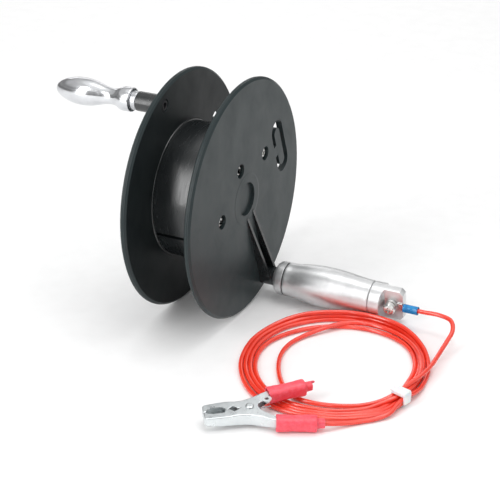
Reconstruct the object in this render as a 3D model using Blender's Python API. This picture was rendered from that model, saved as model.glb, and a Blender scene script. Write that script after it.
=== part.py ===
"""Hand reel with a test lead: two identical moulded halves, a revolving crank handle, a revolving
aluminium grip with a screw terminal, and a coiled red lead that ends in a crocodile clip.

Metres, +Z up. The reel axis runs along X and the reel stands on its two rims at Z = 0. The crank
side is -X and the grip side is +X. A moulding's own frame has X along the reel axis, P and Q in the
plane of the flange, and is turned by REEL_TURN about X.
"""
import math

import bmesh
import bpy
from mathutils import Euler, Matrix, Vector

MM = 0.001
GAP = 0.3 * MM            # between pieces that touch
RUN = 0.1 * MM            # radial running clearance

# Reel
FLANGE_R = 90 * MM
FLANGE_T = 5.1 * MM
DRUM_WIDTH = 45.6 * MM
DRUM_R = 51 * MM
DRUM_WALL = 2.6 * MM
SEAM_GAP = 2.8 * MM
REEL_TURN = math.radians(21)
REEL_X = -15.55 * MM      # middle of the drum, with the whole reel centred on the origin
HALF_W = DRUM_WIDTH / 2 + FLANGE_T
NEAR_FACE_X = REEL_X + HALF_W
FAR_FACE_X = REEL_X - HALF_W

# Features of one moulding
RIM_ROUND = 1.7 * MM
DIMPLE_R = 12.6 * MM
DIMPLE_DEPTH = 2.4 * MM
BOSS_PITCH_R = 79.5 * MM
BOSS_R = 7.2 * MM
BOSS_H = 15.8 * MM
BOSS_HOLE_R = 3.6 * MM
BOSS_SINK_R = 4.7 * MM
BOSS_SINK_DEPTH = 3.2 * MM
RIB_OFFSET = 4.9 * MM
RIB_T = 2.2 * MM
RIB_START = 15.5 * MM
RIB_TOP = 8.6 * MM
SCREW_SPOTS = ((-37.8 * MM, 12 * MM), (37.8 * MM, 12 * MM), (0.0, 27.5 * MM))
SCREW_SINK_R = 5.4 * MM
SCREW_SINK_DEPTH = 4.4 * MM
SOCKET_R = 7.2 * MM
SOCKET_H = 5 * MM
POST_R = 5 * MM
PILOT_R = 1.9 * MM
PILOT_DEPTH = 16 * MM

# Line cleat: a C-shaped slot round a T-shaped tongue
SLOT_P = (51.5 * MM, 69.3 * MM)
SLOT_Q = 23 * MM
SLOT_CORNER = 8.2 * MM
TONGUE_P = (55.4 * MM, 63.8 * MM)
TONGUE_Q = 17 * MM
TONGUE_CORNER = 3.9 * MM
STEM_Q = 4.6 * MM

# Flange screws
SCREW_HEAD_R = 4 * MM
SCREW_HEAD_H = 2.6 * MM
SCREW_R = 1.6 * MM
SCREW_LEN = 18 * MM

# Both handles stand on a boss, opposite each other
HANDLE_TURN = REEL_TURN - math.pi / 2
GRIP_Y = BOSS_PITCH_R * math.cos(HANDLE_TURN)
GRIP_Z = FLANGE_R + BOSS_PITCH_R * math.sin(HANDLE_TURN)
CRANK_Y = -GRIP_Y
CRANK_Z = 2 * FLANGE_R - GRIP_Z
SPIGOT_R = 3.3 * MM
SPIGOT_START = 4 * MM
SPIGOT_HOLE_R = 2.5 * MM
SPIGOT_HOLE_END = 13 * MM
SHAFT_R = 4 * MM
FIXING_R = 2.2 * MM
FIXING_HEAD_R = 4.25 * MM
FIXING_HEAD_H = 2.7 * MM

# Crank handle, measured from the far flange's outer face
CRANK_START = 20.6 * MM
CRANK_LENGTH = 64.3 * MM
CRANK_BORE_END = 68 * MM
SHOULDER_R = 7 * MM
SNAP_POS = 62 * MM
SNAP_W = 1.2 * MM

# Grip, measured from the near flange's outer face
RING_START = 11.7 * MM
RING_R = 13 * MM
RING_END = 19.8 * MM
WASHER_START = 20 * MM
WASHER_END = 21 * MM
SLEEVE_START = 21.2 * MM
SLEEVE_END = 90.7 * MM
SLEEVE_BORE_R = 7 * MM
BUSH_R = 8 * MM
BUSH_LEN = 11.8 * MM
BLOCK_START = 91 * MM
BLOCK_R = 13 * MM
BLOCK_END = 116 * MM
BLOCK_BORE_END = 98 * MM
BLADE_START = 100 * MM
BLADE_HALF_T = 3.4 * MM
BLADE_TURN = math.radians(190)
TERMINAL_POS = 107.2 * MM

# Terminal stack, measured from the blade's middle plane
TERMINAL_HOLE_R = 2.6 * MM
TERMINAL_SCREW_R = 2.3 * MM
LUG_T = 0.8 * MM
LUG_RING_R = 4.8 * MM
LUG_TONGUE_W = 5.8 * MM
LUG_BARREL_R = 1.9 * MM
LUG_BARREL_END = 122 * MM
SLEEVE_TUBE = (116.6 * MM, 128 * MM, 2.2 * MM, 3.15 * MM)

# Lead
CORD_D = 3.3 * MM
COIL_CENTRE = Vector((108.85 * MM, -58 * MM))
COIL_A = 60 * MM
COIL_B = 65.5 * MM
COIL_HALF_W = 6.5 * MM
COIL_HALF_H = 3.5 * MM
COIL_GRIP_RISE = 1.4 * MM
COIL_THIN_ANGLE = math.radians(-108)
COIL_THIN_SPREAD = math.radians(34)
COIL_THIN_HALF_H = 1.65 * MM
COIL_THIN_HALF_W = 7.8 * MM
TIE_ANGLE = math.radians(-18)
TIE_W = 6.2 * MM
TIE_T = 1.1 * MM
TIE_Z = 4.6 * MM
TIE_HALF_W = 5 * MM
TIE_HALF_H = 3.3 * MM

# Crocodile clip, lying on its side. Its own frame has U from the jaws to the handles, V across
# the clip and W along the rivet, with the moving handle a little raised over the coil
CLIP_X = 84.9 * MM
CLIP_Y = -144.1 * MM
CLIP_Z = 8.2 * MM
CLIP_TURN = math.radians(37)
CLIP_TILT = math.radians(8)
CLIP_SHEET = 0.9 * MM
JAW_TIP = 31.2 * MM
TIP_HALF_W = 3.2 * MM
OUTER_HALF_W = 4.4 * MM
INNER_HALF_W = 3.3 * MM
HANDLE_HALF_W = 3.4 * MM
EYE_U = 12.9 * MM
EYE_V = 7.3 * MM
RIVET_R = 1.8 * MM
RIVET_HEAD_R = 3.0 * MM
RIVET_HEAD_H = 0.8 * MM
HANDLE_SLOPE = math.radians(10)
BOOT_START = 15 * MM
BOOT_MIDDLE = 14.4 * MM
BOOT_LEN = 27 * MM
BOOT_COLLAR = 5.2 * MM
BOOT_HALF_W = 5.1 * MM
BOOT_HALF_H = 5.3 * MM
SPRING_WIRE_R = 0.45 * MM
SPRING_R = 2.6 * MM
SPRING_TURNS = 3


def clear_scene():
    for obj in list(bpy.data.objects):
        bpy.data.objects.remove(obj, do_unlink=True)


def make_material(name, colour, roughness, metallic=0.0):
    material = bpy.data.materials.new(name)
    material.use_nodes = True
    shader = material.node_tree.nodes["Principled BSDF"]
    shader.inputs["Base Color"].default_value = (*colour, 1.0)
    shader.inputs["Roughness"].default_value = roughness
    shader.inputs["Metallic"].default_value = metallic
    return material


def add_object(name, mesh, material=None):
    obj = bpy.data.objects.new(name, mesh)
    bpy.context.scene.collection.objects.link(obj)
    if material is not None:
        mesh.materials.append(material)
    return obj


def finish_mesh(name, bm, smooth=True):
    bmesh.ops.recalc_face_normals(bm, faces=bm.faces)
    mesh = bpy.data.meshes.new(name)
    bm.to_mesh(mesh)
    bm.free()
    if smooth:
        mesh.shade_smooth()
        mesh.set_sharp_from_angle(angle=math.radians(35))
    return mesh


def turned_mesh(name, profile, segments, closed=False):
    """A solid of revolution about local X. The profile is a list of (x, radius)."""
    bm = bmesh.new()
    rings = []
    for x, r in profile:
        if r <= 0:
            rings.append([bm.verts.new((x, 0, 0))])
            continue
        ring = []
        for i in range(segments):
            a = math.tau * i / segments
            ring.append(bm.verts.new((x, r * math.cos(a), r * math.sin(a))))
        rings.append(ring)
    pairs = list(zip(rings, rings[1:]))
    if closed:
        pairs.append((rings[-1], rings[0]))
    for first, second in pairs:
        for i in range(segments):
            j = (i + 1) % segments
            corners = [first[i % len(first)], first[j % len(first)]]
            corners += [second[j % len(second)], second[i % len(second)]]
            bm.faces.new(list(dict.fromkeys(corners)))
    if not closed:
        for ring in (rings[0], rings[-1]):
            if len(ring) > 1:
                bm.faces.new(ring)
    return finish_mesh(name, bm)


def turned(name, profile, segments, material, closed=False):
    return add_object(name, turned_mesh(name, profile, segments, closed), material)


def rod_mesh(name, x0, x1, radius, segments):
    return turned_mesh(name, [(x0, radius), (x1, radius)], segments)


def prism_mesh(name, outline, low, high, plane="YZ"):
    """A straight prism. The outline lies in the named plane, and low and high are along the rest."""
    bm = bmesh.new()

    def place(a, b, depth):
        if plane == "YZ":
            return (depth, a, b)
        if plane == "XY":
            return (a, b, depth)
        return (a, depth, b)

    bottom = [bm.verts.new(place(a, b, low)) for a, b in outline]
    top = [bm.verts.new(place(a, b, high)) for a, b in outline]
    bm.faces.new(bottom)
    bm.faces.new(top)
    count = len(outline)
    for i in range(count):
        j = (i + 1) % count
        bm.faces.new((bottom[i], bottom[j], top[j], top[i]))
    return finish_mesh(name, bm)


def arc(centre, radius, start, end, steps):
    """Points on an arc, with the angles in degrees."""
    points = []
    for i in range(steps + 1):
        a = math.radians(start + (end - start) * i / steps)
        points.append((centre[0] + radius * math.cos(a), centre[1] + radius * math.sin(a)))
    return points


def helper(name, mesh, parent=None):
    """A hidden guide or cutter that a Boolean uses."""
    obj = add_object(name, mesh)
    obj.hide_render = True
    obj.display_type = "WIRE"
    obj.parent = parent
    return obj


def boolean(target, tool, operation):
    modifier = target.modifiers.new(operation.lower() + "_" + tool.name, "BOOLEAN")
    modifier.operation = operation
    modifier.solver = "EXACT"
    modifier.object = tool


def frame_matrix(origin, x_axis, y_axis):
    """A placing matrix from an origin and two axes at right angles."""
    x_axis = Vector(x_axis).normalized()
    y_axis = Vector(y_axis).normalized()
    z_axis = x_axis.cross(y_axis)
    rotation = Matrix((x_axis, y_axis, z_axis)).transposed().to_4x4()
    return Matrix.Translation(Vector(origin)) @ rotation


# ---------------------------------------------------------------- reel mouldings

def slot_outline():
    p0, p1 = SLOT_P
    c = SLOT_CORNER
    t0, t1 = TONGUE_P
    k = TONGUE_CORNER
    points = [(p0, STEM_Q)]
    points += arc((p0 + c, SLOT_Q - c), c, 180, 90, 5)
    points += arc((p1 - c, SLOT_Q - c), c, 90, 0, 5)
    points += arc((p1 - c, -SLOT_Q + c), c, 0, -90, 5)
    points += arc((p0 + c, -SLOT_Q + c), c, -90, -180, 5)
    points += [(p0, -STEM_Q), (t0, -STEM_Q)]
    points += arc((t0 + k, -TONGUE_Q + k), k, 180, 270, 4)
    points += arc((t1 - k, -TONGUE_Q + k), k, 270, 360, 4)
    points += arc((t1 - k, TONGUE_Q - k), k, 0, 90, 4)
    points += arc((t0 + k, TONGUE_Q - k), k, 90, 180, 4)
    points += [(t0, STEM_Q)]
    return points


def drum_outline():
    half_gap = math.degrees(SEAM_GAP / 2 / DRUM_R)
    outer = arc((0, 0), DRUM_R, half_gap, 180 - half_gap, 28)
    inner = arc((0, 0), DRUM_R - DRUM_WALL, 180 - half_gap, half_gap, 28)
    return outer + inner


def rib_outline():
    """A gusset in the X, Q plane: nothing at the hub, RIB_TOP high at the boss."""
    sunk = HALF_W - FLANGE_T / 2
    boss_side = -BOSS_PITCH_R + BOSS_R * 0.6
    return [(sunk, -RIB_START), (HALF_W + 0.3 * MM, -RIB_START), (HALF_W + RIB_TOP, boss_side),
            (sunk, boss_side)]


def moved(mesh, y, z):
    mesh.transform(Matrix.Translation((0, y, z)))
    return mesh


def moulding_tools(tag, parent):
    """The guides that one moulding is built from, in its own frame: (joined, cut away)."""
    inner = HALF_W - FLANGE_T
    joined = []
    cut = []

    def add(group, name, mesh):
        group.append(helper(tag + "_" + name, mesh, parent))

    add(joined, "drum", prism_mesh("drum", drum_outline(), -DRUM_WIDTH / 2 + GAP, inner + 1 * MM))
    boss = rod_mesh("boss", inner + 1 * MM, HALF_W + BOSS_H, BOSS_R, 28)
    add(joined, "boss", moved(boss, 0, -BOSS_PITCH_R))
    for side in (-1, 1):
        rib = prism_mesh("rib", rib_outline(), -RIB_T / 2, RIB_T / 2, plane="XZ")
        add(joined, "rib", moved(rib, side * RIB_OFFSET, 0))
    for p, q in SCREW_SPOTS:
        socket = rod_mesh("socket", inner - SOCKET_H, inner + 1 * MM, SOCKET_R, 18)
        add(joined, "socket", moved(socket, p, q))
        post = rod_mesh("post", -inner + SOCKET_H + GAP, inner + 1 * MM, POST_R, 16)
        add(joined, "post", moved(post, p, -q))

    add(cut, "slot", prism_mesh("slot", slot_outline(), inner - 1 * MM, HALF_W + 1 * MM))
    add(cut, "dimple", rod_mesh("dimple", HALF_W - DIMPLE_DEPTH, HALF_W + 1 * MM, DIMPLE_R, 32))
    hole = rod_mesh("hole", inner - 1 * MM, HALF_W + BOSS_H + 1 * MM, BOSS_HOLE_R, 16)
    add(cut, "hole", moved(hole, 0, -BOSS_PITCH_R))
    sink = rod_mesh("sink", inner - 1 * MM, inner + BOSS_SINK_DEPTH, BOSS_SINK_R, 16)
    add(cut, "sink", moved(sink, 0, -BOSS_PITCH_R))
    for p, q in SCREW_SPOTS:
        seat = rod_mesh("seat", HALF_W - SCREW_SINK_DEPTH, HALF_W + 1 * MM, SCREW_SINK_R, 18)
        add(cut, "seat", moved(seat, p, q))
        way = rod_mesh("way", inner - SOCKET_H - 1 * MM, HALF_W, SCREW_R + GAP, 12)
        add(cut, "way", moved(way, p, q))
        low = -inner + SOCKET_H + GAP - 1 * MM
        pilot = rod_mesh("pilot", low, low + PILOT_DEPTH + 1 * MM, PILOT_R, 12)
        add(cut, "pilot", moved(pilot, p, -q))
    return joined, cut


def make_moulding(name, frame, material):
    inner = HALF_W - FLANGE_T
    r = RIM_ROUND
    profile = [(inner, FLANGE_R - r), (inner + r * 0.8, FLANGE_R), (HALF_W - r * 0.8, FLANGE_R),
               (HALF_W, FLANGE_R - r)]
    half = turned(name, profile, 96, material)
    half.parent = frame
    joined, cut = moulding_tools(name, frame)
    for tool in joined:
        boolean(half, tool, "UNION")
    for tool in cut:
        boolean(half, tool, "DIFFERENCE")
    return half


def make_reel(materials):
    near = bpy.data.objects.new("near_half_frame", None)
    far = bpy.data.objects.new("far_half_frame", None)
    for frame in (near, far):
        bpy.context.scene.collection.objects.link(frame)
        frame.location = (REEL_X, 0, FLANGE_R)
    near.rotation_euler = (REEL_TURN, 0, 0)
    flipped = Matrix.Rotation(REEL_TURN, 3, "X") @ Matrix.Rotation(math.pi, 3, "Y")
    far.rotation_euler = flipped.to_euler()
    for side, frame in (("near", near), ("far", far)):
        make_moulding(side + "_half", frame, materials["moulding"])
        for number, (p, q) in enumerate(SCREW_SPOTS, 1):
            make_flange_screw(f"{side}_flange_screw_{number}", frame, p, q, materials["zinc"])


def cross_recess(name, face_x, depth, reach, width):
    """A cutter for a cross recess in a screw head that faces +X."""
    arm = width / 2
    outline = [(reach, -arm), (reach, arm), (arm, arm), (arm, reach), (-arm, reach), (-arm, arm),
               (-reach, arm), (-reach, -arm), (-arm, -arm), (-arm, -reach), (arm, -reach), (arm, -arm)]
    return prism_mesh(name, outline, face_x - depth, face_x + 1 * MM)


def pan_head_screw(name, head_r, head_h, shank_r, shank_len, material):
    """The head's seat is at local X = 0 and the shank runs to -X."""
    profile = [(-shank_len, 0), (-shank_len + shank_r, shank_r), (0, shank_r), (0, head_r),
               (head_h * 0.5, head_r), (head_h * 0.88, head_r * 0.8), (head_h, head_r * 0.56),
               (head_h, 0)]
    screw = turned(name, profile, 16, material)
    tool = helper(name + "_recess", cross_recess(name, head_h, head_h * 0.55, head_r * 0.52,
                                                 head_r * 0.26), screw)
    boolean(screw, tool, "DIFFERENCE")
    return screw


def make_flange_screw(name, frame, p, q, material):
    screw = pan_head_screw(name, SCREW_HEAD_R, SCREW_HEAD_H, SCREW_R, SCREW_LEN, material)
    screw.parent = frame
    screw.location = (HALF_W - SCREW_SINK_DEPTH + GAP, p, q)


# ---------------------------------------------------------------- handle fixings and shafts

def handle_frame(name, face_x, outward, y, z):
    """An empty on a handle's axis, whose +X points away from the reel."""
    frame = bpy.data.objects.new(name, None)
    bpy.context.scene.collection.objects.link(frame)
    frame.location = (face_x, y, z)
    if outward < 0:
        frame.rotation_euler = (0, 0, math.pi)
    return frame


def fixing_screw(name, frame, material):
    """A socket screw that holds a shaft to its boss, put in from inside the flange."""
    seat = -FLANGE_T + BOSS_SINK_DEPTH - GAP
    head = seat - FIXING_HEAD_H
    tip = SPIGOT_START + 7 * MM
    profile = [(head, 0), (head, FIXING_HEAD_R - 0.5 * MM), (head + 0.5 * MM, FIXING_HEAD_R),
               (seat, FIXING_HEAD_R), (seat, FIXING_R), (tip, FIXING_R), (tip, 0)]
    screw = turned(name, profile, 18, material)
    screw.parent = frame
    hexagon = arc((0, 0), 2.3 * MM, 0, 300, 5)
    tool = helper(name + "_hex", prism_mesh("hex", hexagon, head - 1 * MM, head + 1.7 * MM), screw)
    boolean(screw, tool, "DIFFERENCE")
    return screw


def spigot_profile():
    """The end of a shaft inside its boss, with the hole for the fixing screw, open at the end."""
    return [(SPIGOT_HOLE_END, 0), (SPIGOT_HOLE_END, SPIGOT_HOLE_R), (SPIGOT_START, SPIGOT_HOLE_R),
            (SPIGOT_START, SPIGOT_R), (BOSS_H + GAP, SPIGOT_R)]


def crank_handle_profile():
    """Ball-type machine handle: (distance from the handle's flange end, radius)."""
    shape = [(0, 8.0), (0.9, 8.9), (7.2, 8.9), (9.4, 8.3), (11.6, 7.1), (14.2, 6.2), (18, 5.95),
             (23, 6.65), (28.5, 8.2), (34, 9.5), (40, 10.1), (46, 9.9), (51.5, 9.0), (56, 7.6),
             (60, 5.6), (63, 3), (64.3, 0)]
    return [(CRANK_START + d * MM, r * MM) for d, r in shape]


def make_crank(frame, materials):
    fixing_screw("crank_fixing_screw", frame, materials["zinc"])
    collar_end = CRANK_START - GAP
    groove = SNAP_POS
    profile = spigot_profile()
    profile += [(BOSS_H + GAP, SHOULDER_R - 0.4 * MM), (BOSS_H + GAP + 0.4 * MM, SHOULDER_R),
                (collar_end, SHOULDER_R), (collar_end, SHAFT_R), (groove - 0.9 * MM, SHAFT_R),
                (groove - 0.9 * MM, SHAFT_R - 0.8 * MM), (groove + 0.9 * MM, SHAFT_R - 0.8 * MM),
                (groove + 0.9 * MM, SHAFT_R), (groove + 3 * MM, SHAFT_R), (groove + 3 * MM, 0)]
    spindle = turned("crank_spindle", profile, 24, materials["steel"])
    spindle.parent = frame

    bore_r = SHAFT_R + RUN
    profile = [(CRANK_BORE_END, 0), (CRANK_BORE_END, bore_r), (groove + 0.9 * MM, bore_r),
               (groove + 0.9 * MM, bore_r + 0.9 * MM), (groove - 0.9 * MM, bore_r + 0.9 * MM),
               (groove - 0.9 * MM, bore_r), (CRANK_START, bore_r)]
    handle = turned("crank_handle", profile + crank_handle_profile(), 32, materials["polished"])
    handle.parent = frame

    inner_r = SHAFT_R - 0.5 * MM
    outer_r = bore_r + 0.6 * MM
    outline = arc((0, 0), outer_r, 25, 335, 20) + arc((0, 0), inner_r, 335, 25, 20)
    mesh = prism_mesh("snap", outline, groove - SNAP_W / 2, groove + SNAP_W / 2)
    ring = add_object("crank_snap_ring", mesh, materials["spring"])
    ring.parent = frame


def sleeve_profile():
    """Outer shape of the grip sleeve, as (distance from the near flange, radius)."""
    shape = [(21.2, 12.6), (21.6, 13.05), (27, 13.15), (33, 14), (40, 15), (47, 15.55),
             (54, 15.68), (62, 15.4), (70, 14.75), (79, 13.75), (87, 13.1), (90.3, 13), (90.7, 12.6)]
    return [(d * MM, r * MM) for d, r in shape]


def tube_profile(start, end, inner_r, outer_r, chamfer=0.0):
    return [(start, inner_r), (start, outer_r - chamfer), (start + chamfer, outer_r),
            (end - chamfer, outer_r), (end, outer_r - chamfer), (end, inner_r)]


def make_grip(frame, materials):
    fixing_screw("grip_fixing_screw", frame, materials["zinc"])
    profile = spigot_profile()
    profile += [(BOSS_H + GAP, SHAFT_R), (BLOCK_BORE_END - GAP, SHAFT_R), (BLOCK_BORE_END - GAP, 0)]
    axle = turned("grip_axle", profile, 24, materials["steel"])
    axle.parent = frame

    cup_r = BOSS_R + GAP
    cup_end = BOSS_H + GAP
    profile = [(RING_START, cup_r), (RING_START, cup_r + 1 * MM), (RING_START + 1.5 * MM, 11.2 * MM),
               (RING_START + 3.6 * MM, RING_R), (RING_END - 0.4 * MM, RING_R),
               (RING_END, RING_R - 0.4 * MM), (RING_END, SHAFT_R + GAP), (cup_end, SHAFT_R + GAP),
               (cup_end, cup_r)]
    ring = turned("grip_front_ring", profile, 36, materials["aluminium"], closed=True)
    ring.parent = frame

    profile = tube_profile(WASHER_START, WASHER_END, SHAFT_R + GAP, 12.2 * MM, 0.2 * MM)
    washer = turned("grip_thrust_washer", profile, 36, materials["bush"], closed=True)
    washer.parent = frame

    seat_r = BUSH_R + GAP
    depth = BUSH_LEN + 2 * GAP
    profile = sleeve_profile()
    profile += [(SLEEVE_END, seat_r), (SLEEVE_END - depth, seat_r),
                (SLEEVE_END - depth, SLEEVE_BORE_R), (SLEEVE_START + depth, SLEEVE_BORE_R),
                (SLEEVE_START + depth, seat_r), (SLEEVE_START, seat_r)]
    sleeve = turned("grip_sleeve", profile, 36, materials["aluminium"], closed=True)
    sleeve.parent = frame

    front = SLEEVE_START + GAP
    rear = SLEEVE_END - GAP - BUSH_LEN
    for name, start in (("grip_front_bush", front), ("grip_rear_bush", rear)):
        profile = tube_profile(start, start + BUSH_LEN, SHAFT_R + RUN, BUSH_R, 0.3 * MM)
        bush = turned(name, profile, 24, materials["bush"], closed=True)
        bush.parent = frame


# ---------------------------------------------------------------- end block and terminal

def make_end_block(frame, blade, materials):
    """The round block on the axle's end, milled down to a flat blade that carries the terminal."""
    chamfer = 2.7 * MM
    bore_r = SHAFT_R + GAP
    profile = [(BLOCK_BORE_END, 0), (BLOCK_BORE_END, bore_r), (BLOCK_START, bore_r),
               (BLOCK_START, BLOCK_R - 0.4 * MM), (BLOCK_START + 0.4 * MM, BLOCK_R),
               (BLOCK_END - chamfer, BLOCK_R), (BLOCK_END, BLOCK_R - chamfer), (BLOCK_END, 0)]
    block = turned("end_block", profile, 36, materials["aluminium"])
    block.parent = frame
    reach = 2 * BLOCK_R
    ramp = 1.4 * MM
    for side in (-1, 1):
        outline = [(BLADE_START + ramp, BLADE_HALF_T), (BLOCK_END + 5 * MM, BLADE_HALF_T),
                   (BLOCK_END + 5 * MM, reach), (BLADE_START - ramp, reach),
                   (BLADE_START, BLADE_HALF_T + 5 * MM)]
        outline = [(x, side * n) for x, n in outline]
        tool = helper("flat", prism_mesh("flat", outline, -reach, reach, plane="XY"), blade)
        boolean(block, tool, "DIFFERENCE")
    mesh = prism_mesh("bolt_hole", arc((TERMINAL_POS, 0), TERMINAL_HOLE_R, 0, 345, 23), -reach, reach,
                      plane="XZ")
    boolean(block, helper("bolt_hole", mesh, blade), "DIFFERENCE")


def lug_outline():
    """Ring and tongue of the crimp lug, in the X, Z plane of the blade."""
    half = LUG_TONGUE_W / 2
    open_angle = math.degrees(math.asin(half / LUG_RING_R))
    points = arc((TERMINAL_POS, 0), LUG_RING_R, open_angle, 360 - open_angle, 24)
    end = SLEEVE_TUBE[0] - 1.2 * MM
    return points + [(end, -half), (end + 1 * MM, -LUG_BARREL_R), (end + 3 * MM, -LUG_BARREL_R),
                     (end + 3 * MM, LUG_BARREL_R), (end + 1 * MM, LUG_BARREL_R), (end, half)]


def make_terminal(blade, materials):
    """Lug, washers and screw on the blade. The blade's frame has +Y out of the terminal face."""
    lug_low = BLADE_HALF_T + GAP
    lug_top = lug_low + LUG_T
    barrel_y = lug_low + LUG_T / 2
    lug = add_object("ring_lug", prism_mesh("lug", lug_outline(), lug_low, lug_top, plane="XZ"),
                     materials["tin"])
    lug.parent = blade
    hole = prism_mesh("lug_hole", arc((TERMINAL_POS, 0), TERMINAL_HOLE_R, 0, 345, 23), 0, 9 * MM,
                      plane="XZ")
    boolean(lug, helper("lug_hole", hole, blade), "DIFFERENCE")
    barrel = rod_mesh("lug_barrel", SLEEVE_TUBE[0] + 0.6 * MM, LUG_BARREL_END, LUG_BARREL_R, 20)
    barrel.transform(Matrix.Translation((0, barrel_y, 0)))
    boolean(lug, helper("lug_barrel", barrel, blade), "UNION")

    start, end, inner_r, outer_r = SLEEVE_TUBE
    profile = tube_profile(start, end, inner_r, outer_r, 0.4 * MM)
    sleeve = turned("lug_sleeve", profile, 24, materials["blue"], closed=True)
    sleeve.parent = blade
    sleeve.location = (0, barrel_y, 0)

    stack = bpy.data.objects.new("terminal_axis", None)
    bpy.context.scene.collection.objects.link(stack)
    stack.parent = blade
    stack.location = (TERMINAL_POS, 0, 0)
    stack.rotation_euler = (0, 0, math.pi / 2)
    washer_low = lug_top + GAP
    profile = tube_profile(washer_low, washer_low + 1 * MM, TERMINAL_HOLE_R, 5 * MM, 0.15 * MM)
    washer = turned("terminal_washer", profile, 24, materials["zinc"], closed=True)
    washer.parent = stack
    lock_low = washer_low + 1 * MM + GAP
    lock_top = lock_low + 1.2 * MM
    outline = arc((0, 0), 4.4 * MM, 8, 352, 20) + arc((0, 0), TERMINAL_HOLE_R, 352, 8, 20)
    lock = add_object("terminal_lock_washer", prism_mesh("lock", outline, lock_low, lock_top),
                      materials["zinc"])
    lock.parent = stack
    seat = lock_top + GAP
    screw = pan_head_screw("terminal_screw", 4.7 * MM, 3.7 * MM, TERMINAL_SCREW_R,
                           seat + BLADE_HALF_T - 0.6 * MM, materials["zinc"])
    screw.parent = stack
    screw.location = (seat, 0, 0)
    return barrel_y


# ---------------------------------------------------------------- lead

def smooth_route(points, count):
    """Points at even spacing along a smooth curve through the given points."""
    ends = [2 * points[0] - points[1]] + points + [2 * points[-1] - points[-2]]
    fine = []
    for a, b, c, d in zip(ends, ends[1:], ends[2:], ends[3:]):
        for i in range(24):
            t = i / 24
            cubic = (-a + 3 * b - 3 * c + d) * t ** 3 + (2 * a - 5 * b + 4 * c - d) * t ** 2
            fine.append((cubic + (c - a) * t + 2 * b) / 2)
    fine.append(points[-1])
    lengths = [0.0]
    for a, b in zip(fine, fine[1:]):
        lengths.append(lengths[-1] + (b - a).length)
    route = []
    index = 0
    for i in range(count):
        wanted = lengths[-1] * i / (count - 1)
        while index < len(fine) - 2 and lengths[index + 1] < wanted:
            index += 1
        part = (wanted - lengths[index]) / (lengths[index + 1] - lengths[index])
        route.append(fine[index].lerp(fine[index + 1], min(max(part, 0), 1)))
    return route


def cord_tube(name, route, radius, material, sides=2):
    curve = bpy.data.curves.new(name, "CURVE")
    curve.dimensions = "3D"
    curve.bevel_depth = radius
    curve.bevel_resolution = sides
    curve.use_fill_caps = True
    spline = curve.splines.new("POLY")
    spline.points.add(len(route) - 1)
    for point, place in zip(spline.points, route):
        point.co = (*place, 1)
    curve.materials.append(material)
    obj = bpy.data.objects.new(name, curve)
    bpy.context.scene.collection.objects.link(obj)
    return obj


def coil_section(angle):
    """Centre, half width and half height of the bundle at an angle round the coil."""
    near_tie = math.exp(-((angle - TIE_ANGLE) / math.radians(13)) ** 2)
    near_clip = math.exp(-((angle - COIL_THIN_ANGLE) / COIL_THIN_SPREAD) ** 6)
    half_h = COIL_HALF_H + COIL_GRIP_RISE * max(0.0, math.sin(angle))
    half_h += (COIL_THIN_HALF_H - half_h) * near_clip
    half_w = COIL_HALF_W + (COIL_THIN_HALF_W - COIL_HALF_W) * near_clip
    half_w += (TIE_HALF_W - GAP - COIL_HALF_W) * near_tie
    centre_z = half_h + (TIE_Z - COIL_HALF_H) * near_tie
    half_h += (TIE_HALF_H - GAP - COIL_HALF_H) * near_tie
    x = COIL_CENTRE.x + COIL_A * math.cos(angle)
    y = COIL_CENTRE.y + COIL_B * math.sin(angle)
    return Vector((x, y, centre_z)), half_w, half_h


def coil_outward(angle):
    return Vector((COIL_B * math.cos(angle), COIL_A * math.sin(angle), 0)).normalized()


def make_coil(material):
    """The tied bundle of turns, as one closed ring of its outer shape."""
    bm = bmesh.new()
    sections = 56
    sides = 8
    rings = []
    for i in range(sections):
        angle = -math.pi + math.tau * i / sections
        centre, half_w, half_h = coil_section(angle)
        out = coil_outward(angle)
        ring = []
        for k in range(sides):
            a = math.tau * (k + 0.5) / sides
            offset = out * (half_w * math.cos(a)) + Vector((0, 0, half_h * math.sin(a)))
            ring.append(bm.verts.new(centre + offset))
        rings.append(ring)
    for i in range(sections):
        for k in range(sides):
            here, there = rings[i], rings[(i + 1) % sections]
            m = (k + 1) % sides
            bm.faces.new((here[k], here[m], there[m], there[k]))
    add_object("lead_coil", finish_mesh("lead_coil", bm), material)


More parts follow.
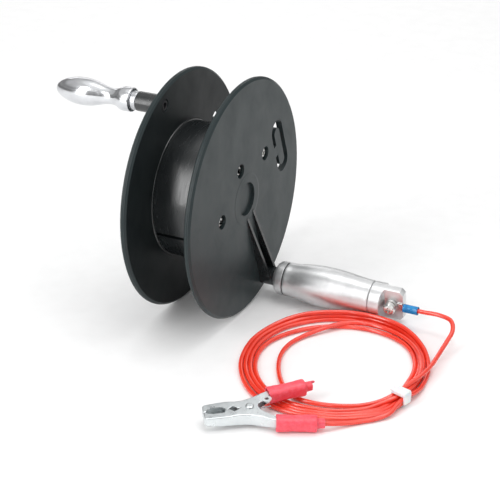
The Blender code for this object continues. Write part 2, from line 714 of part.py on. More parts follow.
def make_tie(material):
    """Cable tie: a band round the bundle, with its head and cut tail on the inner side."""
    centre, _, _ = coil_section(TIE_ANGLE)
    out = coil_outward(TIE_ANGLE)
    frame = frame_matrix(centre, out.cross(Vector((0, 0, 1))), out)
    band = []
    for grow in (TIE_T, 0.0):
        ring = []
        for i in range(20):
            a = math.tau * i / 20
            ring.append(((TIE_HALF_W + grow) * math.cos(a), (TIE_HALF_H + grow) * math.sin(a)))
        band.append(ring)
    bm = bmesh.new()
    loops = []
    for x in (-TIE_W / 2, TIE_W / 2):
        loops += [[bm.verts.new((x, a, b)) for a, b in ring] for ring in band]
    outer_low, inner_low, outer_high, inner_high = loops
    for first, second in ((outer_low, outer_high), (outer_high, inner_high),
                          (inner_high, inner_low), (inner_low, outer_low)):
        for i in range(20):
            j = (i + 1) % 20
            bm.faces.new((first[i], first[j], second[j], second[i]))
    tie = add_object("cable_tie", finish_mesh("cable_tie", bm), material)
    tie.matrix_world = frame
    top = TIE_HALF_H + TIE_T
    head = [(-4.4 * MM, top - 1.2 * MM), (1.6 * MM, top - 0.6 * MM), (1.6 * MM, top + 2.2 * MM),
            (-4.4 * MM, top + 1.6 * MM)]
    half = TIE_W / 2 + 0.5 * MM
    head_tool = helper("tie_head", prism_mesh("tie_head", head, -half, half), tie)
    tail = [(-6.6 * MM, top + 0.9 * MM), (-4 * MM, top + 0.3 * MM), (-4 * MM, top + 1.3 * MM),
            (-6.6 * MM, top + 1.9 * MM)]
    tail_tool = helper("tie_tail", prism_mesh("tie_tail", tail, -TIE_W / 2, TIE_W / 2), tie)
    boolean(tie, head_tool, "UNION")
    boolean(tie, tail_tool, "UNION")


def clip_matrix():
    """Where the clip lies: turned about +Z and tipped about its own length."""
    spin = Matrix.Rotation(CLIP_TURN, 4, "Z") @ Matrix.Rotation(CLIP_TILT, 4, "X")
    return Matrix.Translation((CLIP_X, CLIP_Y, CLIP_Z)) @ spin


def make_lead(blade_matrix, barrel_y, materials):
    start = blade_matrix @ Vector((LUG_BARREL_END + GAP, barrel_y, 0))
    mouth = blade_matrix @ Vector((SLEEVE_TUBE[1] + 3 * MM, barrel_y, 0))
    shape = [(156.2, 23.8, 16.2), (162, 22.2, 16.6), (166.5, 18.8, 16.3), (169, 14, 15),
             (170, 7, 12.2), (170.4, -1, 9.4), (171, -12, 8.2), (171.7, -25, 8.3),
             (172, -38, 8.8), (171.3, -50, 9.3), (170, -60, 9.7), (168.6, -68, 10.1)]
    route = [start, mouth] + [Vector(point) * MM for point in shape]
    cord_tube("lead_in", smooth_route(route, 20), CORD_D / 2, materials["cord"])

    beside = COIL_HALF_W + GAP + CORD_D / 2 + 0.3 * MM
    route = []
    for degrees in (-30, -37, -44, -51):
        angle = math.radians(degrees)
        centre, _, _ = coil_section(angle)
        place = centre + coil_outward(angle) * beside
        place.z = CORD_D / 2 + 0.15 * MM
        route.append(place)
    clip = clip_matrix()
    along = Vector((math.cos(HANDLE_SLOPE), -math.sin(HANDLE_SLOPE), 0))
    handle = Vector((BOOT_START, -BOOT_MIDDLE, 0))
    for reach in (13 * MM, 5 * MM, GAP):
        route.append(clip @ (handle + along * (BOOT_LEN + BOOT_COLLAR + reach)))
    route[-3].z = 3.6 * MM
    cord_tube("lead_out", smooth_route(route, 16), CORD_D / 2, materials["cord"])
    make_coil(materials["cord"])
    make_tie(materials["tie"])


# ---------------------------------------------------------------- crocodile clip

def web_line():
    """Outside of a jaw and handle, as (U, V) from the tip to the handle's end."""
    shape = [(-31.2, 3.4), (-31, 6), (-29.6, 7.4), (-20, 8.2), (-13.5, 8.2), (-9.5, 7.9), (-4, 8.4),
             (0, 9.3), (5, 11.3), (10, 13.7), (14, 15.3), (39, 19.8)]
    return [(u * MM, v * MM) for u, v in shape]


def teeth_line(phase):
    """The biting edge from the rivet to the tip: a diamond notch, then a toothed mouth."""
    shape = [(-6.6, 0.2), (-10.5, 3.3), (-14.4, 0.2), (-15.8, 0.2), (-16.8, 2.2)]
    pitch = 1.5
    for i in range(6):
        root = -17.6 - (i + phase) * pitch
        shape += [(root, 3.6), (root - 0.75, 2.7)]
    shape += [(-28.4, 2.2), (-29.2, 0.2), (-31.2, 0.2)]
    return [(u * MM, v * MM) for u, v in shape]


def side_outline(eye, phase):
    """Side wall of one clip piece: web outside, handle, ear round the rivet, biting edge."""
    points = web_line()
    points += [(39 * MM, 16.4 * MM), (18 * MM, 12.4 * MM)]
    if eye:
        points += [(14.6 * MM, 10.6 * MM)]
        points += arc((EYE_U, EYE_V), 3.4 * MM, 45, -150, 10)
        points += [(6.4 * MM, 3 * MM)]
    else:
        points += [(13.6 * MM, 10 * MM), (8.4 * MM, 6 * MM), (6 * MM, 2.6 * MM)]
    points += arc((0, 0), 4.9 * MM, -20, -160, 10)
    return points + teeth_line(phase)


def channel_plan(outer, inset):
    """Plan of a clip piece, from the narrow tip to the ears and the handle."""
    tip = TIP_HALF_W - inset
    handle = HANDLE_HALF_W - inset
    if outer:
        ears = OUTER_HALF_W - inset
        side = [(-JAW_TIP - 5 * MM, tip), (-JAW_TIP, tip), (-8 * MM, ears), (7 * MM, ears)]
    else:
        ears = INNER_HALF_W - inset
        side = [(-JAW_TIP - 5 * MM, tip), (-JAW_TIP, tip), (-13 * MM, tip + 0.5 * MM),
                (-7.5 * MM, ears), (7 * MM, ears)]
    side += [(13 * MM, handle), (45 * MM, handle)]
    return side + [(u, -w) for u, w in reversed(side)]


def channel_core():
    """What is hollow between the side walls, below the web."""
    web = [(max(u, -JAW_TIP + CLIP_SHEET), v - CLIP_SHEET * 1.1) for u, v in web_line()[1:]]
    end = web[-1][1]
    return [(-JAW_TIP + CLIP_SHEET, -20 * MM)] + web + [(45 * MM, end + 1 * MM), (45 * MM, -20 * MM)]


def make_clip_piece(name, frame, outer, eye, phase, material):
    """A folded channel: its two side walls, joined by the web along the outside."""
    sign = -1 if outer else 1

    def flat(outline):
        return [(u, sign * v) for u, v in outline]

    mesh = prism_mesh(name, flat(side_outline(eye, phase)), -6 * MM, 6 * MM, plane="XY")
    piece = add_object(name, mesh, material)
    piece.parent = frame
    plan = prism_mesh("plan", channel_plan(outer, 0), -30 * MM, 30 * MM, plane="XZ")
    boolean(piece, helper(name + "_plan", plan, frame), "INTERSECT")
    core = prism_mesh("core", flat(channel_core()), -20 * MM, 20 * MM, plane="XY")
    core = helper(name + "_core", core, frame)
    hollow = prism_mesh("hollow", channel_plan(outer, CLIP_SHEET), -30 * MM, 30 * MM, plane="XZ")
    boolean(core, helper(name + "_hollow", hollow, frame), "INTERSECT")
    boolean(piece, core, "DIFFERENCE")
    mesh = prism_mesh("pin_hole", arc((0, 0), RIVET_R + RUN, 0, 342, 19), -20 * MM, 20 * MM, plane="XY")
    boolean(piece, helper(name + "_pin_hole", mesh, frame), "DIFFERENCE")
    if eye:
        mesh = prism_mesh("eye", arc((EYE_U, EYE_V), 1.4 * MM, 0, 342, 19), 0, 20 * MM, plane="XY")
        boolean(piece, helper(name + "_eye", mesh, frame), "DIFFERENCE")
        corner = [(7.6 * MM, 5.2 * MM), (13.8 * MM, 10 * MM), (18 * MM, 10.6 * MM), (18 * MM, 2 * MM),
                  (7.6 * MM, 2 * MM)]
        mesh = prism_mesh("corner", corner, -20 * MM, 0, plane="XY")
        boolean(piece, helper(name + "_corner", mesh, frame), "DIFFERENCE")
    return piece


def boot_mesh(name):
    """A soft sleeve over a clip handle. Local X runs along the handle from the jaw end."""
    outer = [(0, 1.0), (6 * MM, 0.97), (13 * MM, 0.93), (20 * MM, 0.95), (25 * MM, 1.0),
             (BOOT_LEN, 0.92), (BOOT_LEN, 0.58), (BOOT_LEN + BOOT_COLLAR - 0.6 * MM, 0.55),
             (BOOT_LEN + BOOT_COLLAR, 0.46)]
    inner = [(BOOT_LEN + BOOT_COLLAR, 0.38), (BOOT_LEN - 1.2 * MM, 0.38), (BOOT_LEN - 1.2 * MM, 0.78),
             (0, 0.82)]
    sides = 20
    bm = bmesh.new()
    rings = []
    for x, scale in outer + inner:
        ring = []
        for i in range(sides):
            a = math.tau * (i + 0.5) / sides
            c, s = math.cos(a), math.sin(a)
            reach = scale * (abs(c) ** 3.4 + abs(s) ** 3.4) ** (-1 / 3.4)
            ring.append(bm.verts.new((x, BOOT_HALF_W * reach * c, BOOT_HALF_H * reach * s)))
        rings.append(ring)
    for first, second in zip(rings, rings[1:] + rings[:1]):
        for i in range(sides):
            j = (i + 1) % sides
            bm.faces.new((first[i], first[j], second[j], second[i]))
    return finish_mesh(name, bm)


def place_boot(name, frame, sign, material):
    boot = add_object(name, boot_mesh(name), material)
    boot.parent = frame
    boot.location = (BOOT_START, sign * BOOT_MIDDLE, 0)
    boot.rotation_euler = (0, 0, sign * HANDLE_SLOPE)


def make_spring(frame, material):
    """Torsion spring round the rivet, its two legs along the insides of the handles."""
    pitch = 1.1 * MM
    base = -pitch * SPRING_TURNS / 2
    start = math.radians(105)
    total = math.tau * SPRING_TURNS + math.radians(150)
    points = [Vector((15.4 * MM, 5.2 * MM, base)), Vector((10.3 * MM, 4.3 * MM, base))]
    steps = 12 * SPRING_TURNS
    for i in range(steps + 1):
        a = start + total * i / steps
        z = base + pitch * SPRING_TURNS * i / steps
        points.append(Vector((SPRING_R * math.cos(a), SPRING_R * math.sin(a), z)))
    points += [Vector((8 * MM, -7.8 * MM, -base)), Vector((16.5 * MM, -13.2 * MM, -base))]
    spring = cord_tube("clip_spring", points, SPRING_WIRE_R, material, sides=1)
    spring.parent = frame


def make_clip(frame, materials):
    make_clip_piece("clip_jaw_fixed", frame, True, False, 0.0, materials["nickel"])
    make_clip_piece("clip_jaw_moving", frame, False, True, 0.4, materials["nickel"])
    half = OUTER_HALF_W + GAP
    top = half + RIVET_HEAD_H
    profile = [(-top, 0), (-top, RIVET_HEAD_R * 0.7), (-half, RIVET_HEAD_R), (-half, RIVET_R),
               (half, RIVET_R), (half, RIVET_HEAD_R), (top, RIVET_HEAD_R * 0.7), (top, 0)]
    rivet = turned("clip_rivet", profile, 24, materials["nickel"])
    rivet.parent = frame
    rivet.rotation_euler = Euler((0, math.pi / 2, 0))
    make_spring(frame, materials["spring"])
    place_boot("clip_boot_fixed", frame, -1, materials["boot"])
    place_boot("clip_boot_moving", frame, 1, materials["boot"])


def main():
    clear_scene()
    materials = {
        "moulding": make_material("moulding", (0.075, 0.085, 0.087), 0.45),
        "aluminium": make_material("aluminium", (0.78, 0.78, 0.79), 0.35, 1.0),
        "polished": make_material("polished", (0.85, 0.85, 0.86), 0.12, 1.0),
        "steel": make_material("steel", (0.62, 0.63, 0.65), 0.3, 1.0),
        "spring": make_material("spring", (0.4, 0.41, 0.43), 0.35, 1.0),
        "zinc": make_material("zinc", (0.72, 0.72, 0.7), 0.3, 1.0),
        "nickel": make_material("nickel", (0.74, 0.76, 0.78), 0.22, 1.0),
        "tin": make_material("tin", (0.8, 0.8, 0.8), 0.35, 1.0),
        "bush": make_material("bush", (0.03, 0.03, 0.032), 0.5),
        "blue": make_material("blue", (0.01, 0.24, 0.62), 0.4),
        "cord": make_material("cord", (0.86, 0.05, 0.02), 0.4),
        "boot": make_material("boot", (0.88, 0.07, 0.09), 0.45),
        "tie": make_material("tie", (0.9, 0.9, 0.92), 0.4),
    }
    make_reel(materials)
    crank = handle_frame("crank_frame", FAR_FACE_X, -1, CRANK_Y, CRANK_Z)
    make_crank(crank, materials)
    grip = handle_frame("grip_frame", NEAR_FACE_X, 1, GRIP_Y, GRIP_Z)
    make_grip(grip, materials)
    blade = handle_frame("blade_frame", NEAR_FACE_X, 1, GRIP_Y, GRIP_Z)
    blade.rotation_euler = (BLADE_TURN, 0, 0)
    make_end_block(grip, blade, materials)
    barrel_y = make_terminal(blade, materials)
    bpy.context.view_layer.update()
    clip = bpy.data.objects.new("clip_frame", None)
    bpy.context.scene.collection.objects.link(clip)
    clip.matrix_world = clip_matrix()
    make_lead(blade.matrix_world.copy(), barrel_y, materials)
    make_clip(clip, materials)


main()
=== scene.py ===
"""Visual model of a two-handed hand winding reel with a tied test lead.

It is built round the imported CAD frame. Lengths are written in millimetres and multiplied by MM.
The reel lies along X: the crank is at the low end and the metal grip, with the screw terminal
and the lead, at the high end.
"""

import math

import bmesh
import bpy
from mathutils import Matrix, Vector, noise


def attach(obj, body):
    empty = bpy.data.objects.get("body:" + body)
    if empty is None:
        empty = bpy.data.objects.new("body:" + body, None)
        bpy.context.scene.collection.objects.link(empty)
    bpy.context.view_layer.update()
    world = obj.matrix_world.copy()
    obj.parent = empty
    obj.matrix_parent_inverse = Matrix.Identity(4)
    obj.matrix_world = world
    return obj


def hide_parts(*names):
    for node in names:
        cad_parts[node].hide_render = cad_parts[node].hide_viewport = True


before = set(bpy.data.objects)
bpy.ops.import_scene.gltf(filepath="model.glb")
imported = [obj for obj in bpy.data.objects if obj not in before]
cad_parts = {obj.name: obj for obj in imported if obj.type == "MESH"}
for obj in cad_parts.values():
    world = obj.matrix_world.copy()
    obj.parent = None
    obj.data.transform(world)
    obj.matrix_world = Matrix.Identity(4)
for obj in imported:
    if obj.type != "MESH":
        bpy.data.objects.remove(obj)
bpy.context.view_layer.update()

MM = 0.001
NEAR_FACE = 12.35               # outer face of the near flange, along X
FAR_FACE = -43.45               # outer face of the far flange, along X
FLANGE_T = 5.1
FLANGE_R = 90.0
REEL_AXIS = (0.0, 90.0)         # each axis is a line along X, given by its Y and Z
GRIP_AXIS = (28.49, 15.78)
CRANK_AXIS = (-28.49, 164.22)
SLEEVE_AXIS = (24.45, 15.07)
TURNED_SIDES = 96               # faces round a turned part
SHARP_DEGREES = 35.0            # an edge that bends more is shaded sharp
LEAD_D = 3.3

# The clip's own frame has U along the clip, V across it and W along the rivet
CLIP_ORIGIN = Vector((84.9, -144.1, 8.2))
CLIP_PLACE = Matrix.Rotation(math.radians(37), 3, "Z") @ Matrix.Rotation(math.radians(8), 3, "X")

TIE_CENTRE = Vector((165.91, -78.24, 4.6))
TIE_OUT = Vector((0.958, -0.285, 0.0)).normalized()     # from the coil's middle, level

# The lead's centreline: lug, over the bundle, through the tie, five turns, and to the clip
LEAD = (
    (134.6, 24.4, 15.1), (145.6, 24.4, 15.3), (156.6, 24.0, 15.9), (166.9, 20.7, 15.4),
    (171.7, 11.6, 12.8), (171.4, 1.2, 9.3), (171.1, -9.6, 7.4), (171.5, -20.6, 7.0),
    (171.9, -31.6, 7.1), (171.4, -42.6, 7.5), (169.7, -53.4, 7.7), (166.8, -64.0, 7.3),
    (163.8, -74.5, 6.3), (158.6, -83.8, 4.6), (153.6, -88.5, 2.9), (145.2, -94.8, 1.7),
    (136.0, -100.0, 1.6), (126.1, -103.8, 1.6), (115.7, -106.0, 1.6), (105.2, -105.9, 1.6),
    (95.3, -102.2, 1.6), (87.4, -95.2, 1.6), (80.8, -86.9, 1.6), (75.3, -77.9, 1.6),
    (70.8, -68.3, 1.6), (67.5, -58.2, 1.6), (65.9, -47.7, 1.6), (66.5, -37.2, 1.6),
    (69.7, -27.1, 1.8), (75.0, -18.0, 2.8), (81.3, -9.5, 3.8), (88.0, -1.4, 4.4),
    (96.1, 5.4, 4.2), (106.0, 9.0, 3.7), (116.6, 9.2, 3.6), (126.9, 6.9, 3.7),
    (136.6, 2.7, 3.9), (145.1, -3.6, 4.3), (152.4, -11.3, 4.6), (158.5, -19.9, 4.6),
    (163.3, -29.4, 4.6), (166.7, -39.4, 4.7), (168.5, -49.8, 4.6), (168.9, -60.4, 4.6),
    (167.9, -70.9, 5.5), (164.6, -81.0, 5.9), (157.9, -88.8, 3.9), (150.6, -96.1, 1.8),
    (142.4, -102.9, 1.6), (133.3, -108.2, 1.6), (123.3, -111.7, 1.6), (112.8, -113.3, 1.6),
    (102.2, -113.2, 1.6), (91.8, -111.1, 1.6), (82.2, -106.8, 1.6), (73.7, -100.4, 1.6),
    (66.4, -92.7, 1.6), (60.3, -84.1, 1.6), (55.6, -74.7, 1.6), (52.3, -64.6, 1.6),
    (50.8, -54.1, 1.6), (51.5, -43.6, 1.6), (54.7, -33.5, 1.6), (59.6, -24.1, 1.6),
    (66.0, -15.6, 1.6), (73.6, -8.3, 1.6), (82.4, -2.4, 1.6), (92.0, 2.0, 1.6),
    (102.2, 4.9, 1.6), (112.8, 5.6, 1.6), (123.3, 4.3, 1.6), (133.3, 1.0, 1.6),
    (142.4, -4.4, 1.6), (149.7, -12.0, 1.6), (155.2, -21.1, 1.6), (159.2, -30.9, 1.6),
    (161.5, -41.2, 1.6), (162.3, -51.8, 1.6), (162.7, -62.4, 1.7), (163.1, -72.9, 2.5),
    (161.5, -83.3, 2.3), (157.8, -93.2, 1.6), (150.9, -101.1, 1.6), (142.6, -107.7, 1.6),
    (133.2, -112.7, 1.6), (123.1, -115.9, 1.6), (112.6, -117.4, 1.6), (102.1, -117.1, 1.6),
    (91.8, -114.5, 1.6), (82.1, -110.2, 1.6), (73.4, -104.1, 1.6), (65.8, -96.8, 1.6),
    (59.2, -88.5, 1.6), (53.9, -79.4, 1.6), (49.9, -69.5, 1.6), (47.4, -59.3, 1.6),
    (46.5, -48.7, 1.6), (47.3, -38.1, 1.6), (49.5, -27.8, 1.6), (53.4, -17.9, 1.6),
    (59.3, -9.1, 1.6), (66.3, -1.2, 1.6), (74.6, 5.3, 1.6), (84.1, 10.1, 1.6),
    (94.2, 13.2, 1.6), (104.7, 14.7, 1.6), (115.3, 14.4, 1.6), (125.5, 11.5, 1.6),
    (134.9, 6.8, 1.6), (143.3, 0.3, 1.6), (150.3, -7.6, 1.6), (156.2, -16.5, 1.6),
    (160.7, -26.0, 1.6), (163.7, -36.2, 1.6), (165.1, -46.7, 1.6), (165.6, -57.3, 1.6),
    (166.3, -67.8, 2.1), (165.9, -78.4, 2.7), (163.4, -88.6, 2.1), (158.2, -97.8, 1.6),
    (150.8, -105.4, 1.6), (142.3, -111.7, 1.6), (132.8, -116.4, 1.6), (122.6, -119.3, 1.6),
    (112.1, -120.6, 1.6), (101.6, -120.0, 1.6), (91.3, -117.6, 1.6), (81.5, -113.4, 1.6),
    (72.6, -107.7, 1.6), (64.8, -100.6, 1.6), (57.9, -92.5, 1.6), (52.2, -83.6, 1.6),
    (47.9, -73.9, 1.6), (44.9, -63.8, 1.6), (43.1, -53.3, 1.6), (42.6, -42.7, 1.6),
    (43.9, -32.3, 1.6), (47.6, -22.3, 1.9), (52.9, -13.2, 2.7), (59.7, -5.1, 3.6),
    (67.7, 1.8, 4.3), (76.4, 7.7, 4.4), (86.0, 12.4, 4.3), (96.1, 15.3, 4.1),
    (106.7, 16.5, 4.1), (117.2, 16.0, 4.0), (127.5, 13.3, 3.8), (137.1, 8.8, 3.2),
    (145.6, 2.6, 2.4), (152.6, -5.3, 1.8), (158.5, -14.1, 1.6), (163.0, -23.7, 1.6),
    (166.2, -33.8, 1.6), (168.1, -44.2, 1.6), (168.7, -54.8, 1.6), (169.1, -65.4, 1.7),
    (169.6, -75.9, 2.7), (167.5, -86.3, 2.3), (163.3, -95.9, 1.7), (156.6, -104.1, 1.6),
    (148.6, -111.0, 1.6), (139.6, -116.7, 1.6), (129.8, -120.6, 1.6), (119.5, -123.0, 1.6),
    (108.9, -124.0, 1.6), (98.4, -123.5, 1.6), (88.0, -121.3, 1.6), (78.4, -117.0, 1.6),
    (69.6, -111.0, 1.6), (62.0, -103.7, 1.6), (55.4, -95.3, 1.6), (49.8, -86.4, 1.6),
    (45.3, -76.8, 1.6), (42.2, -66.6, 1.6), (40.1, -56.2, 1.6), (39.2, -45.7, 1.6),
    (40.1, -35.1, 1.8), (43.2, -25.1, 2.7), (48.4, -16.0, 4.3), (55.1, -7.9, 5.9),
    (63.2, -1.2, 7.2), (72.1, 4.4, 7.7), (81.3, 9.7, 7.6), (91.1, 13.8, 7.5),
    (101.5, 15.8, 7.4), (112.1, 16.0, 7.4), (122.6, 14.7, 7.3), (132.7, 11.7, 6.9),
    (142.0, 6.7, 6.0), (150.2, 0.1, 4.9), (157.4, -7.6, 3.7), (163.2, -16.4, 2.5),
    (167.7, -25.9, 1.8), (170.7, -36.1, 1.6), (172.4, -46.6, 1.7), (173.2, -57.1, 2.3),
    (172.5, -67.5, 4.0), (169.7, -77.6, 5.7), (168.1, -88.0, 4.9), (166.3, -98.2, 3.1),
    (159.9, -106.4, 1.8), (152.2, -113.7, 1.7), (144.7, -121.1, 2.5), (137.5, -128.6, 4.4),
    (128.8, -134.5, 5.6),
)


# ---------------------------------------------------------------- camera, light and floor

# The softboxes' places, targets and sizes are in metres
SOFTBOXES = (
    ("key", (-0.62, -1.26, 0.75), (0, 0, 0.09), (0.36, 2.0), 13.0),
    ("fill", (1.0, -0.35, 0.7), (0.02, 0, 0.05), (0.5, 0.9), 1.6),
    ("front", (0.27, -1.3, 0.62), (0.05, 0, 0.05), (0.25, 0.8), 2.0),
    ("top", (0.1, 0.15, 1.3), (0, 0, 0), (0.7, 0.5), 3.2),
    ("back", (-0.62, 1.3, 0.62), (0.05, -0.05, 0), (1.3, 0.35), 2.5),
)

# The sky's grey from the horizon (0) to straight up (1)
SKY = ((0.0, 0.35), (0.1, 0.25), (0.28, 0.55), (0.42, 0.3), (0.6, 0.9), (1.0, 1.0))


def make_camera():
    camera = bpy.data.objects.new("camera", bpy.data.cameras.new("camera"))
    bpy.context.scene.collection.objects.link(camera)
    camera.data.sensor_width = 36
    camera.data.lens = 110.88
    camera.data.clip_start = 0.05
    camera.location = (0.4675, -0.9257, 0.5522)
    camera.rotation_euler = (math.radians(63.97), 0, math.radians(26.06))
    bpy.context.scene.camera = camera


def make_softbox(name, location, target, size, watts):
    lamp = bpy.data.lights.new(name, "AREA")
    lamp.shape = "RECTANGLE"
    lamp.size, lamp.size_y = size
    lamp.energy = watts
    obj = bpy.data.objects.new(name, lamp)
    bpy.context.scene.collection.objects.link(obj)
    obj.location = location
    aim = Vector(target) - Vector(location)
    obj.rotation_euler = aim.to_track_quat("-Z", "Y").to_euler()


def make_sky():
    world = bpy.data.worlds.new("studio")
    bpy.context.scene.world = world
    world.use_nodes = True
    nodes, links = world.node_tree.nodes, world.node_tree.links
    back = nodes["Background"]
    back.inputs["Strength"].default_value = 0.65
    where = nodes.new("ShaderNodeTexCoord")
    split = nodes.new("ShaderNodeSeparateXYZ")
    sky = nodes.new("ShaderNodeValToRGB")
    links.new(where.outputs["Generated"], split.inputs[0])
    links.new(split.outputs["Z"], sky.inputs["Fac"])
    links.new(sky.outputs["Color"], back.inputs["Color"])
    ramp = sky.color_ramp
    while len(ramp.elements) < len(SKY):
        ramp.elements.new(0.5)
    for element, (place, grey) in zip(ramp.elements, SKY):
        element.position = place
        element.color = (grey, grey, grey, 1)


def make_studio():
    scene = bpy.context.scene
    scene.view_settings.view_transform = "Standard"
    make_sky()
    for softbox in SOFTBOXES:
        make_softbox(*softbox)
    sun = bpy.data.objects.new("sky_light", bpy.data.lights.new("sky_light", "SUN"))
    scene.collection.objects.link(sun)
    sun.data.energy = 0.6
    sun.data.angle = math.radians(80)
    sun.rotation_euler = (math.radians(-12), math.radians(14), 0)


def make_floor():
    mesh = bpy.data.meshes.new("floor")
    half, low = 4.0, -0.0002
    corners = [(-half, -half, low), (half, -half, low), (half, half, low), (-half, half, low)]
    mesh.from_pydata(corners, [], [(0, 1, 2, 3)])
    floor = bpy.data.objects.new("floor", mesh)
    bpy.context.scene.collection.objects.link(floor)
    shade = Shade("floor_paper", 0.75)
    grain = shade.noise(shade.coords(), scale=60, detail=3)
    shade.colour(grain, (0.93, 0.93, 0.93), (0.96, 0.96, 0.96))
    mesh.materials.append(shade.material)


# ---------------------------------------------------------------- materials

NOISE_LOW, NOISE_HIGH = 0.3, 0.7        # most of a noise texture's values lie between these


class Shade:
    """A Principled material whose colour, roughness and bump come from noise in the row's frame."""

    def __init__(self, name, roughness, metallic=0.0, **sockets):
        self.material = bpy.data.materials.new(name)
        self.material.use_nodes = True
        self.tree = self.material.node_tree
        self.shader = self.tree.nodes["Principled BSDF"]
        self.shader.inputs["Metallic"].default_value = metallic
        self.shader.inputs["Roughness"].default_value = roughness
        for socket, value in sockets.items():
            self.shader.inputs[socket.replace("_", " ")].default_value = value
        self.normal = None

    def link(self, source, target):
        self.tree.links.new(source, target)

    def coords(self, scale=(1, 1, 1)):
        where = self.tree.nodes.new("ShaderNodeTexCoord")
        mapping = self.tree.nodes.new("ShaderNodeMapping")
        mapping.inputs["Scale"].default_value = scale
        self.link(where.outputs["Object"], mapping.inputs["Vector"])
        return mapping.outputs["Vector"]

    def noise(self, vector, scale, detail, rough=0.55, distortion=0.0):
        node = self.tree.nodes.new("ShaderNodeTexNoise")
        node.inputs["Scale"].default_value = scale
        node.inputs["Detail"].default_value = detail
        node.inputs["Roughness"].default_value = rough
        node.inputs["Distortion"].default_value = distortion
        self.link(vector, node.inputs["Vector"])
        return node.outputs["Fac"]

    def distance(self, centre):
        """How far a point is from a line along X through the centre."""
        node = self.tree.nodes.new("ShaderNodeVectorMath")
        node.operation = "DISTANCE"
        self.link(self.coords((0, 1, 1)), node.inputs[0])
        node.inputs[1].default_value = centre
        return node.outputs["Value"]

    def remap(self, value, low, high, start=NOISE_LOW, end=NOISE_HIGH):
        node = self.tree.nodes.new("ShaderNodeMapRange")
        node.inputs["From Min"].default_value = start
        node.inputs["From Max"].default_value = end
        node.inputs["To Min"].default_value = low
        node.inputs["To Max"].default_value = high
        self.link(value, node.inputs["Value"])
        return node.outputs["Result"]

    def colour(self, value, dark, light):
        node = self.tree.nodes.new("ShaderNodeValToRGB")
        node.color_ramp.elements[0].position = NOISE_LOW
        node.color_ramp.elements[0].color = (*dark, 1)
        node.color_ramp.elements[1].position = NOISE_HIGH
        node.color_ramp.elements[1].color = (*light, 1)
        self.link(value, node.inputs["Fac"])
        self.link(node.outputs["Color"], self.shader.inputs["Base Color"])

    def roughness(self, value, low, high):
        self.link(self.remap(value, low, high), self.shader.inputs["Roughness"])

    def bump(self, value, depth_mm, strength=1.0):
        """Adds a bump to the ones that the material has so far."""
        node = self.tree.nodes.new("ShaderNodeBump")
        node.inputs["Strength"].default_value = strength
        node.inputs["Distance"].default_value = depth_mm * MM
        self.link(value, node.inputs["Height"])
        if self.normal is not None:
            self.link(self.normal, node.inputs["Normal"])
        self.normal = node.outputs["Normal"]
        self.link(self.normal, self.shader.inputs["Normal"])


def moulded_plastic(name, dark, light, rough, grain_mm, rub_mm, specular):
    """Moulded plastic: a fine grain, cloudy colour, a few long faint rubs, and the step at the
    edge of the disc in the middle of a flange."""
    shade = Shade(name, rough, Specular_IOR_Level=specular)
    cloud = shade.noise(shade.coords(), scale=38, detail=5, rough=0.6)
    shade.colour(cloud, dark, light)
    rub = shade.noise(shade.coords((420, 60, 45)), scale=1, detail=5, rough=0.6, distortion=0.4)
    shade.roughness(rub, rough - 0.05, rough + 0.07)
    shade.bump(shade.noise(shade.coords(), scale=2600, detail=2), grain_mm)
    shade.bump(rub, rub_mm, strength=0.5)
    step_start, step_end, step_mm = 18.9, 20.3, 0.16
    from_axis = shade.distance((0, REEL_AXIS[0] * MM, REEL_AXIS[1] * MM))
    shade.bump(shade.remap(from_axis, 1, 0, step_start * MM, step_end * MM), step_mm)
    return shade.material


def turned_metal(name, dark, light, rough, groove_mm):
    """Metal turned on a lathe, with fine rings round the X axis."""
    shade = Shade(name, rough, 1.0, Anisotropic=0.7, Anisotropic_Rotation=0.25)
    around = shade.tree.nodes.new("ShaderNodeTangent")
    around.direction_type = "RADIAL"
    around.axis = "X"
    shade.link(around.outputs["Tangent"], shade.shader.inputs["Tangent"])
    rings = shade.noise(shade.coords((5200, 24, 24)), scale=1, detail=3, rough=0.7)
    shade.colour(shade.noise(shade.coords(), scale=90, detail=4), dark, light)
    shade.roughness(rings, rough - 0.06, rough + 0.1)
    shade.bump(rings, groove_mm)
    shade.bump(shade.noise(shade.coords(), scale=140, detail=3), 0.02, strength=0.4)
    return shade.material


def sheet_metal(name, dark, light, rough, wave_mm, grain_mm, grain_scale=1500):
    """Plated or cast metal, with a slow waviness and a fine grain."""
    shade = Shade(name, rough, 1.0)
    cloud = shade.noise(shade.coords(), scale=170, detail=6, rough=0.6)
    shade.colour(cloud, dark, light)
    shade.roughness(shade.noise(shade.coords(), scale=300, detail=4), rough - 0.05, rough + 0.1)
    shade.bump(shade.noise(shade.coords(), scale=90, detail=2), wave_mm)
    shade.bump(shade.noise(shade.coords(), scale=grain_scale, detail=4), grain_mm)
    return shade.material


def polished_metal(name, dark, light, rough, streak_mm):
    """Aluminium buffed along its length, with fine streaks that way."""
    shade = Shade(name, rough, 1.0)
    streaks = shade.noise(shade.coords((90, 900, 900)), scale=1, detail=5, rough=0.65)
    shade.colour(shade.noise(shade.coords(), scale=120, detail=5), dark, light)
    shade.roughness(streaks, rough - 0.04, rough + 0.1)
    shade.bump(streaks, streak_mm)
    shade.bump(shade.noise(shade.coords(), scale=160, detail=3), 0.03)
    return shade.material


def soft_plastic(name, dark, light, rough, scale, bump_mm, scatter=0.0, specular=0.5):
    """Flexible plastic: a cord jacket, a boot, a tie, a bush or a terminal sleeve."""
    shade = Shade(name, rough, Subsurface_Weight=scatter, Subsurface_Scale=1.5 * MM,
                  Specular_IOR_Level=specular)
    mottle = shade.noise(shade.coords(), scale=scale, detail=5, rough=0.6)
    shade.colour(mottle, dark, light)
    shade.roughness(shade.noise(shade.coords(), scale=3 * scale, detail=3),
                    rough - 0.07, rough + 0.1)
    shade.bump(shade.noise(shade.coords(), scale=2 * scale, detail=4), bump_mm)
    return shade.material


